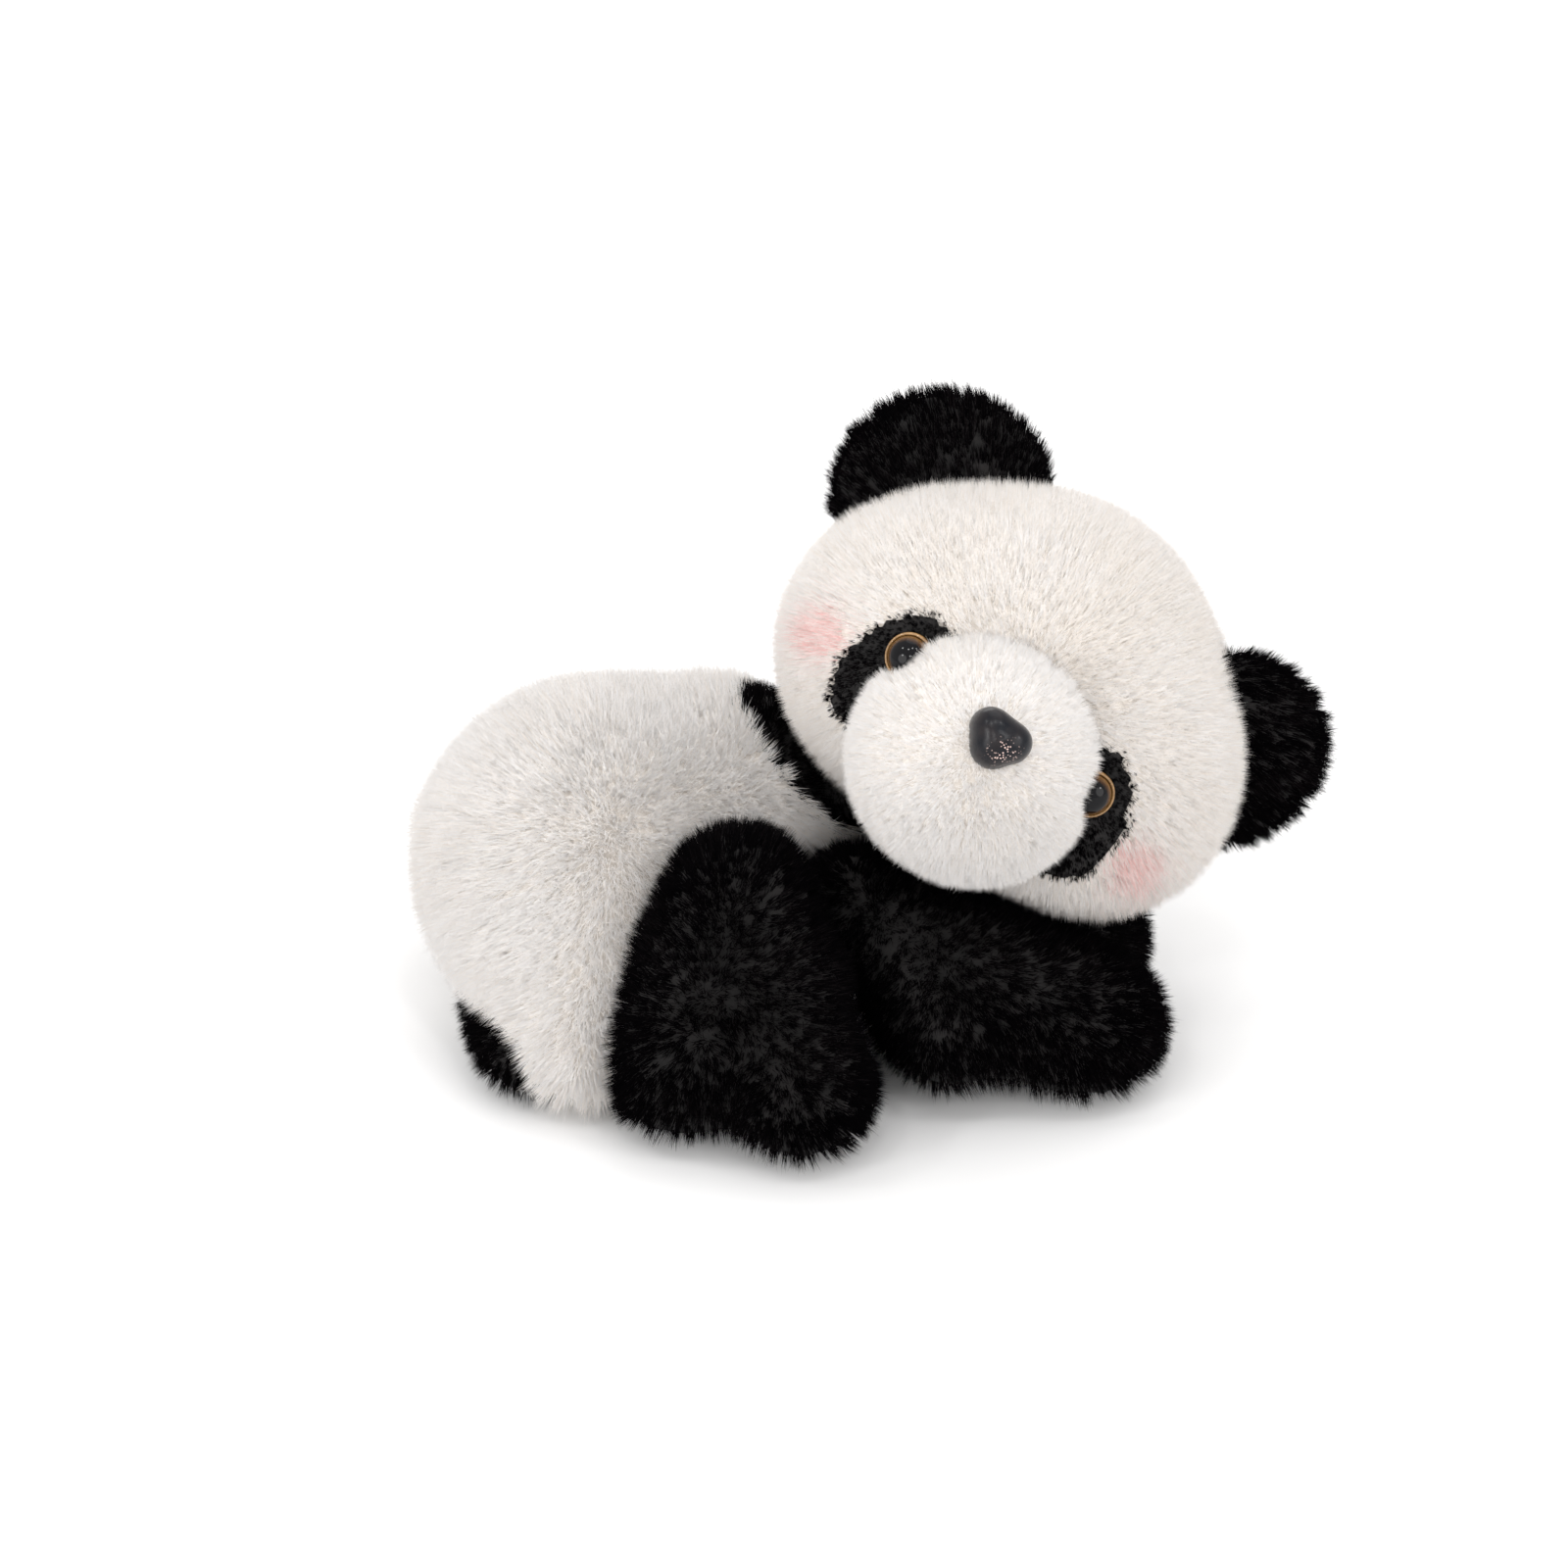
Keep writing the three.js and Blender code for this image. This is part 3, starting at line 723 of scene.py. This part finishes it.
def build_head():
    """The white head, and the two eye patches that are made from its surface."""
    skin = Skin(["head_skin", "head_stuffing"], detail=6, smooth=4)
    cloth = skin.piece("head_cloth", [WHITE_CLOTH], "head", "white_fur")
    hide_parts("head_skin")
    patches = {side: skin.room(["eye_patch_" + side], PATCH_SEARCH) < PATCH_NEAR
               for side in SIDES}
    covered = patches["right"] | patches["left"]
    muzzle = skin.share_of_room(["muzzle_skin", "muzzle_stuffing"], HEAD_HAIR, 0.7)
    shoulders = ["shoulder_yoke", "torso_skin", "arm_right_skin", "arm_left_skin"]
    length = shortest(
        HEAD_HAIR,
        muzzle,
        skin.share_of_room(EAR_PANELS, HEAD_HAIR, 0.6),
        skin.share_of_room(shoulders, HEAD_HAIR, 0.5),
        skin.share_of_room(["neck_ball"], HEAD_HAIR, 1))
    # Beside a patch the hair is less than half as long, so that it doesn't hide the patch.
    beside = skin.smoothed(covered.astype(float), 12)
    length = length * (1 - 0.55 * np.clip(beside * 1.6, 0, 1))
    # Hair lies away from a point 30 mm in front of the head's middle.
    comb = skin.points - np.array(core_of(["head_skin"])) - np.array(HEAD_OUT) * 30 * MM
    grow("head_pile", skin, ~covered, length, comb, FACE_PILE, WHITES,
         white_shades(skin, 1.0, 0.6, cheeks(skin)), "head")
    for side in SIDES:
        build_patch(side, skin, patches[side], comb, muzzle)


def build_patch(side, skin, inside, comb, muzzle):
    """The black short-pile cloth under an eye: the head's surface inside the patch, raised."""
    name = "eye_patch_" + side
    chosen = skin.faces[inside[skin.faces].all(axis=1)]
    used = np.unique(chosen)
    renumber = np.full(len(skin.points), -1)
    renumber[used] = np.arange(len(used))
    mesh = bpy.data.meshes.new(name + "_cloth")
    raised = skin.points[used] + skin.normals[used] * PATCH_LIFT
    mesh.from_pydata(raised.tolist(), [], renumber[chosen].tolist())
    mesh.materials.append(BLACK_CLOTH)
    piece = finished(name + "_cloth", mesh, "head")
    hem = piece.modifiers.new("hem", "SOLIDIFY")
    hem.thickness = PATCH_CLOTH
    hem.offset = -1
    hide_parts(name)

    # The pile is a little longer in the patch's middle than at its edge.
    middle = np.clip(skin.smoothed(inside.astype(float), 6) * 2 - 1, 0, 1)
    length = np.minimum.reduce([(1.5 + 0.6 * middle) * MM, muzzle,
                                skin.room(["eye_rim_" + side], 6 * MM) * 0.8])
    grow(name + "_pile", skin, inside, length, comb, dict(PATCH_PILE, seed=30 + SIDES[side]),
         BLACKS, black_shades(skin), "head", lift=PATCH_HAIR_LIFT)


def outside_of(skin, name):
    """How far each point of a skin lies outside a CAD node, or 0 inside it."""
    tree, _ = cad_tree([name])
    clear = np.zeros(len(skin.points))
    for i, point in enumerate(skin.points):
        near, normal, _, distance = tree.find_nearest(Vector(point))
        if (Vector(point) - near).dot(normal) > 0:
            clear[i] = distance
    return clear


def build_muzzle():
    """The round muzzle, with shorter and whiter hair than the head's, combed off the nose."""
    skin = Skin(["muzzle_skin", "muzzle_stuffing"], detail=5, smooth=3)
    cloth = skin.piece("muzzle_cloth", [WHITE_CLOTH], "head", "white_fur")
    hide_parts("muzzle_skin")
    # Hair may cover the eyes' edges a little, and is shorter where the muzzle meets the head.
    over_eyes, at_seam, buried = 2.0 * MM, 2.8 * MM, 0.8 * MM
    clear = outside_of(skin, "head_skin")
    length = shortest(
        MUZZLE_HAIR,
        skin.share_of_room(["nose"], MUZZLE_HAIR, 0.8),
        skin.share_of_room(EYE_PARTS, MUZZLE_HAIR, 0.9) + over_eyes,
        skin.share_of_room(["arm_right_skin", "shoulder_yoke"], MUZZLE_HAIR, 0.5),
        clear + at_seam)
    comb = skin.points - np.array(core_of(["nose"]))
    grow("muzzle_pile", skin, clear > buried, length, comb,
         dict(FACE_PILE, tufts_per_mm2=1.4, seed=8), WHITES, white_shades(skin, 0.3, 1.6),
         "head")


# ---- eyes and nose -------------------------------------------------------------------------

LATHE_SIDES = 72


def lathe(name, centre, axis, profile, material):
    """A closed turned form on the head. The profile lists (radius, height) from its foot."""
    side, across = (Vector(v[0]) for v in tangents(np.array([axis])))
    vertices = []
    for radius, height in profile:
        for i in range(LATHE_SIDES):
            a = 2 * math.pi * i / LATHE_SIDES
            vertices.append(centre + axis * height
                            + (side * math.cos(a) + across * math.sin(a)) * radius)
    faces = []
    for ring in range(len(profile) - 1):
        faces.extend(band(ring, LATHE_SIDES))
    faces.append([(len(profile) - 1) * LATHE_SIDES + i for i in range(LATHE_SIDES)])
    faces.append(list(reversed(range(LATHE_SIDES))))
    mesh = bpy.data.meshes.new(name)
    mesh.from_pydata(vertices, [], faces)
    mesh.materials.append(material)
    return finished(name, mesh, "head")


def band(ring, sides):
    """The faces between two neighbouring rings of vertices."""
    faces = []
    for i in range(sides):
        j = (i + 1) % sides
        faces.append((ring * sides + i, ring * sides + j, (ring + 1) * sides + j,
                      (ring + 1) * sides + i))
    return faces


def disc_frame(name):
    """The centre and outward normal of a CAD node that is a disc or ring."""
    points = np.array([vertex.co for vertex in NODES[name].data.vertices])
    centre = points.mean(axis=0)
    _, _, axes = np.linalg.svd(points - centre)
    normal = Vector(axes[2])
    if normal.dot(HEAD_OUT) < 0:
        normal = -normal
    return Vector(centre), normal.normalized()


def heights(name, centre, normal):
    """How high a CAD node's vertices stand along an axis, and how far they are from it."""
    points = np.array([vertex.co for vertex in NODES[name].data.vertices]) - np.array(centre)
    high = points @ np.array(normal)
    wide = np.linalg.norm(points - high[:, None] * np.array(normal), axis=1)
    return high, wide


RIM_WIDTH = 0.8 * MM  # from the eye's edge to its dark dome
RIM_TUBE = 0.42 * MM  # radius of the rim's rounded top
RIM_LIFT = 0.55 * MM  # height of that round's middle over the rim's foot


def eye_material(side, centre, radius):
    """A black pupil whose edge turns brown and then dull gold, under one glossy surface."""
    material = plain("eye_paint_" + side, (0.01, 0.01, 0.012), 0.03, Specular_IOR_Level=0.2)
    shader = material.node_tree.nodes["Principled BSDF"]
    place = node(material, "ShaderNodeTexCoord").outputs["Object"]
    apart = node(material, "ShaderNodeVectorMath", {0: place, 1: tuple(centre)},
                 operation="DISTANCE").outputs["Value"]
    share = node(material, "ShaderNodeMath", {0: apart, 1: radius}, operation="DIVIDE").outputs[0]
    fleck = node(material, "ShaderNodeTexNoise", {"Vector": place, "Scale": 1500.0,
                                                  "Detail": 2.0}).outputs["Fac"]
    shift = node(material, "ShaderNodeMath", {0: fleck, 1: 0.06, 2: share},
                 operation="MULTIPLY_ADD").outputs[0]
    black, brown, gold = (0.002, 0.002, 0.003), (0.05, 0.022, 0.008), (0.16, 0.08, 0.025)
    colour = ramp(material, shift, [(0.0, black), (0.84, black), (0.90, brown), (0.98, gold),
                                    (1.0, brown)])
    material.node_tree.links.new(colour, shader.inputs["Base Color"])
    return material


def build_eye(side):
    """A dark dome in an amber ring, both as wide and high as the CAD's."""
    centre, axis = disc_frame("eye_rim_" + side)
    high, wide = heights("eye_rim_" + side, centre, axis)
    base, radius = high.min(), wide.max()
    dome_high, _ = heights("eye_" + side, centre, axis)
    top = dome_high.max() - base
    foot = centre + axis * base
    dome_radius = radius - RIM_WIDTH
    arc = [(dome_radius, -0.6 * MM)]
    steps = 24
    for i in range(steps):
        a = i / steps * math.pi / 2
        arc.append((dome_radius * math.cos(a), top * math.sin(a) ** 0.95))
    paint = eye_material(side, foot + axis * top * 0.25, dome_radius)
    dome = lathe(f"eye_dome_{side}", foot, axis, arc, paint)
    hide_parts("eye_" + side)

    amber = grained("eye_amber_" + side, (0.10, 0.05, 0.016), (0.36, 0.20, 0.07), 0.22, 1400, 0.1,
                    Coat_Weight=0.4, Coat_Roughness=0.08)
    ring = [(radius, -0.4 * MM), (radius, RIM_LIFT)]
    steps = 8
    for i in range(steps + 1):
        a = i / steps * math.pi
        ring.append((radius - RIM_TUBE + RIM_TUBE * math.cos(a),
                     RIM_LIFT + 0.7 * MM * math.sin(a)))
    ring.append((dome_radius - 0.1 * MM, -0.4 * MM))
    rim = lathe(f"eye_ring_{side}", foot, axis, ring, amber)
    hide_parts("eye_rim_" + side)


def nose_material(centre, left, up):
    """Dark satin plastic, clouded with brown, with a patch of pale glitter low on its left."""
    material = plain("nose_satin", (0.012, 0.013, 0.018), 0.3, Specular_IOR_Level=0.2)
    shader = material.node_tree.nodes["Principled BSDF"]
    place = node(material, "ShaderNodeTexCoord").outputs["Object"]
    # The middle of the glitter: left of the nose's middle, low, and near its surface.
    spot = centre + left * 2.6 * MM - up * 2.0 * MM + left.cross(up) * 6 * MM
    apart = node(material, "ShaderNodeVectorMath", {0: place, 1: tuple(spot)},
                 operation="DISTANCE").outputs["Value"]
    cloud = node(material, "ShaderNodeTexNoise", {"Vector": place, "Scale": 500.0,
                                                  "Detail": 2.0}).outputs["Fac"]
    edge = node(material, "ShaderNodeMath", {0: cloud, 1: 0.005, 2: apart},
                operation="MULTIPLY_ADD").outputs[0]
    inside = node(material, "ShaderNodeMapRange", {"Value": edge, "From Min": 0.0042,
                                                   "From Max": 0.0072, "To Min": 1.0,
                                                   "To Max": 0.0}).outputs["Result"]
    cells = node(material, "ShaderNodeTexVoronoi", {"Vector": place, "Scale": 1500.0})
    pick = node(material, "ShaderNodeSeparateColor", {"Color": cells.outputs["Color"]})
    bright = node(material, "ShaderNodeMath", {0: pick.outputs[0], 1: 0.3},
                  operation="GREATER_THAN").outputs[0]
    close = node(material, "ShaderNodeMath", {0: cells.outputs["Distance"], 1: 0.3},
                 operation="LESS_THAN").outputs[0]
    speck = node(material, "ShaderNodeMath", {0: bright, 1: close}, operation="MULTIPLY").outputs[0]
    sparkle = node(material, "ShaderNodeMath", {0: speck, 1: inside},
                   operation="MULTIPLY").outputs[0]
    tone = node(material, "ShaderNodeTexNoise", {"Vector": place, "Scale": 220.0,
                                                 "Detail": 5.0}).outputs["Fac"]
    ground = ramp(material, tone, [(0.35, (0.004, 0.005, 0.008)), (0.7, (0.016, 0.013, 0.014))])
    mixed = node(material, "ShaderNodeMix", {0: sparkle, 6: ground, 7: (0.85, 0.62, 0.56, 1)},
                 data_type="RGBA").outputs[2]
    material.node_tree.links.new(mixed, shader.inputs["Base Color"])
    rough = node(material, "ShaderNodeMapRange", {"Value": sparkle, "To Min": 0.26,
                                                  "To Max": 0.5}).outputs["Result"]
    material.node_tree.links.new(rough, shader.inputs["Roughness"])
    bumps = node(material, "ShaderNodeTexNoise", {"Vector": place, "Scale": 1800.0,
                                                  "Detail": 2.0}).outputs["Fac"]
    raised = node(material, "ShaderNodeBump", {"Height": bumps, "Strength": 0.12,
                                               "Distance": 0.1 * MM}).outputs["Normal"]
    material.node_tree.links.new(raised, shader.inputs["Normal"])
    return material


def build_nose():
    """A rounded triangle, wide at the top, that swells to a soft ridge."""
    washer, axis = disc_frame("nose_washer")
    turn = HEAD_OUT.rotation_difference(axis)
    left, up = turn @ HEAD_LEFT, turn @ HEAD_UP
    high, wide = heights("nose", washer, axis)
    stem_radius = 3 * MM
    base, top = high[wide > stem_radius].min(), high.max()
    points = np.array([vertex.co for vertex in NODES["nose"].data.vertices]) - np.array(washer)
    half_wide = np.abs(points @ np.array(left)).max()
    button = (points @ np.array(up))[high > base - 0.1 * MM]
    y_top, y_low = button.max(), button.min()
    sides, rings = 72, 22
    corner = 0.13  # how far the three corners stand out from an oval
    turns = np.arange(sides) * 2 * math.pi / sides
    oval = 1 + corner * np.sin(3 * turns)
    x, y = oval * np.cos(turns), oval * np.sin(turns)
    x = x / np.abs(x).max() * half_wide
    y = np.where(y > 0, y / y.max() * y_top, y / -y.min() * -y_low)
    vertices, faces = [], []
    foot = washer + axis * base
    for ring in range(rings):
        t = ring / (rings - 1) * math.pi / 2
        shrink, level = math.sin(t) ** 0.8, math.cos(t) ** 0.75
        for i in range(sides):
            tilt = 1 + 0.12 * y[i] / y_top * math.sin(t)
            vertices.append(foot + (left * x[i] + up * y[i]) * shrink
                            + axis * ((top - base) * level * tilt - 0.5 * MM))
    # The rings run from the ridge down to the foot, so their faces turn the other way.
    for ring in range(rings - 1):
        faces.extend((a, d, c, b) for a, b, c, d in band(ring, sides))
    faces.append([(rings - 1) * sides + i for i in reversed(range(sides))])
    faces.append(list(range(sides)))
    mesh = bpy.data.meshes.new("nose_button")
    mesh.from_pydata(vertices, [], faces)
    mesh.materials.append(nose_material(foot, left, up))
    nose = finished("nose_button", mesh, "head")
    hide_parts("nose")


def dress_inside():
    """Materials for the pieces that the cloth covers: the fillings, the bag and the washers."""
    fibre = grained("polyester_fibre", (0.72, 0.72, 0.70), (0.95, 0.95, 0.93), 1.0, 420, 0.9)
    weave = grained("pellet_bag_weave", (0.46, 0.43, 0.37), (0.66, 0.62, 0.54), 0.9, 1600, 0.7)
    plastic = grained("washer_plastic", (0.78, 0.78, 0.76), (0.88, 0.88, 0.86), 0.4, 300, 0.15)
    for word, material in (("stuffing", fibre), ("pellet_bag", weave), ("washer", plastic)):
        for name, cad in NODES.items():
            if word in name:
                for slot in cad.material_slots:
                    slot.material = material


make_camera()
make_lights()
make_world()
make_floor()
build_torso()
build_tail()
build_neck()
for limb in LIMBS:
    build_limb(limb)
build_head()
build_muzzle()
for side in SIDES:
    build_ear(side)
    build_eye(side)
build_nose()
dress_inside()
